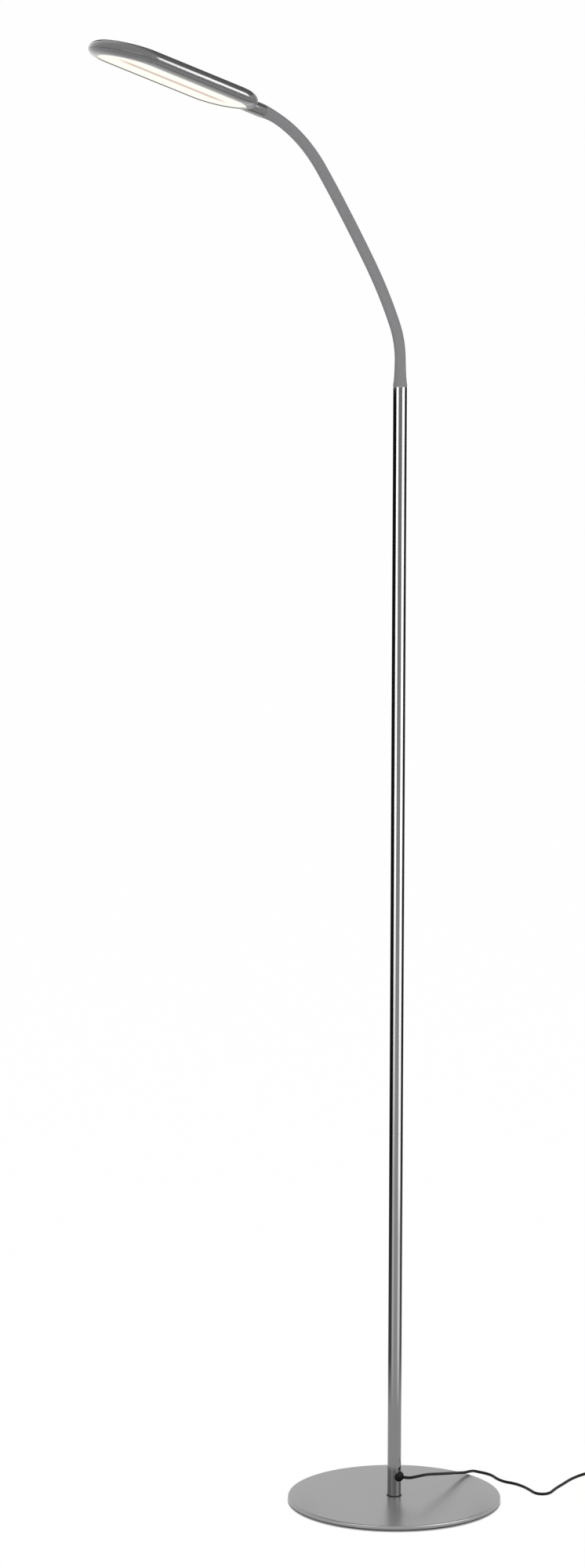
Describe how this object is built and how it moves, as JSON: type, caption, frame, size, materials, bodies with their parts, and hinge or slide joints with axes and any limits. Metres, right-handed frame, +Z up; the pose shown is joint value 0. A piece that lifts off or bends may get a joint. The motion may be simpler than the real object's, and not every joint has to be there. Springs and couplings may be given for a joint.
{
  "type": "gooseneck reading floor lamp",
  "caption": "Tall slim reading floor lamp with a round steel base, a straight pole, a flexible gooseneck, a long flat LED head with a diffuser, and a cord with a plug-in adapter.",
  "frame": {"origin": "centre of the base's underside, on the floor", "axes": "+Z up the pole; the gooseneck and the head reach towards -X; the cord leaves the pole on the -Y side and lies on the floor towards +X"},
  "size_m": [0.7941, 0.3255, 1.7321],
  "materials": {
    "base_paint": "satin silver-grey",
    "pad_foam": "matte",
    "steel": "zinc-plated",
    "pole_metal": "glossy metallic grey",
    "black_rubber": "satin",
    "sleeve_rubber": "matte grey",
    "head_plastic": "glossy grey",
    "diffuser_plastic": "frosted warm white, lit",
    "white_plastic": "matte white",
    "aluminium": "mill",
    "led_phosphor": "satin",
    "circuit_board": "satin",
    "copper": "bare",
    "cord_jacket": "satin black",
    "adapter_plastic": "fine texture",
    "blade_metal": "nickel-plated"
  },
  "bodies": {
    "stand": {"floor_pad": "pad_foam", "base_plate": "base_paint", "base_bolt": "steel", "pole_foot_insert": "steel", "pole_lower_tube": "pole_metal", "pole_middle_tube": "pole_metal", "pole_upper_tube": "pole_metal", "pole_lower_coupler": "steel", "pole_upper_coupler": "steel", "cord_grommet": "black_rubber", "pole_lead": "cord_jacket", "gooseneck_lower_ferrule": "steel", "gooseneck_sleeve_lower_end": "sleeve_rubber", "gooseneck_core_lower_end": "steel", "cord_free": "cord_jacket", "cord_coil": "cord_jacket", "coil_tie": "black_rubber", "cord_tail": "cord_jacket", "adapter_strain_relief": "black_rubber", "adapter_body": "adapter_plastic", "adapter_cover": "adapter_plastic", "adapter_blades": "blade_metal"},
    "link_1": {"gooseneck_sleeve_1": "sleeve_rubber", "gooseneck_core_1": "steel"},
    "link_2": {"gooseneck_sleeve_2": "sleeve_rubber", "gooseneck_core_2": "steel"},
    "link_3": {"gooseneck_sleeve_3": "sleeve_rubber", "gooseneck_core_3": "steel"},
    "link_4": {"gooseneck_sleeve_4": "sleeve_rubber", "gooseneck_core_4": "steel"},
    "link_5": {"gooseneck_sleeve_5": "sleeve_rubber", "gooseneck_core_5": "steel"},
    "link_6": {"gooseneck_sleeve_6": "sleeve_rubber", "gooseneck_core_6": "steel"},
    "link_7": {"gooseneck_sleeve_7": "sleeve_rubber", "gooseneck_core_7": "steel"},
    "link_8": {"gooseneck_sleeve_8": "sleeve_rubber", "gooseneck_core_8": "steel"},
    "head": {"gooseneck_sleeve_upper_end": "sleeve_rubber", "gooseneck_core_upper_end": "steel", "head_neck": "head_plastic", "head_housing": "head_plastic", "head_bezel": "head_plastic", "diffuser": "diffuser_plastic", "reflector_tray": "white_plastic", "led_board": "white_plastic", "leds": "led_phosphor", "heat_spreader": "aluminium", "head_screws": "steel", "driver_board": "circuit_board", "touch_sensor": "copper"}
  },
  "joints": [
    {"name": "gooseneck_bend_1", "type": "hinge", "parent": "stand", "child": "link_1", "pos_m": [0, 0, 1.347], "axis": [0, 1, 0], "range_deg": [-25, 25]},
    {"name": "gooseneck_swing_2", "type": "hinge", "parent": "link_1", "child": "link_2", "pos_m": [-0.00922, 0, 1.38948], "axis": [0.91, 0, 0.4147], "range_deg": [-25, 25]},
    {"name": "gooseneck_bend_3", "type": "hinge", "parent": "link_2", "child": "link_3", "pos_m": [-0.0291, 0, 1.42849], "axis": [0, 1, 0], "range_deg": [-25, 25]},
    {"name": "gooseneck_swing_4", "type": "hinge", "parent": "link_3", "child": "link_4", "pos_m": [-0.05198, 0, 1.46583], "axis": [0.8339, 0, 0.5519], "range_deg": [-25, 25]},
    {"name": "gooseneck_bend_5", "type": "hinge", "parent": "link_4", "child": "link_5", "pos_m": [-0.07647, 0, 1.50214], "axis": [0, 1, 0], "range_deg": [-25, 25]},
    {"name": "gooseneck_swing_6", "type": "hinge", "parent": "link_5", "child": "link_6", "pos_m": [-0.1016, 0, 1.53802], "axis": [0.8141, 0, 0.5807], "range_deg": [-25, 25]},
    {"name": "gooseneck_bend_7", "type": "hinge", "parent": "link_6", "child": "link_7", "pos_m": [-0.12749, 0, 1.57334], "axis": [0, 1, 0], "range_deg": [-25, 25]},
    {"name": "gooseneck_swing_8", "type": "hinge", "parent": "link_7", "child": "link_8", "pos_m": [-0.15718, 0, 1.60545], "axis": [0.6626, 0, 0.749], "range_deg": [-25, 25]},
    {"name": "gooseneck_bend_9", "type": "hinge", "parent": "link_8", "child": "head", "pos_m": [-0.19277, 0, 1.63084], "axis": [0, 1, 0], "range_deg": [-25, 25]}
  ]
}
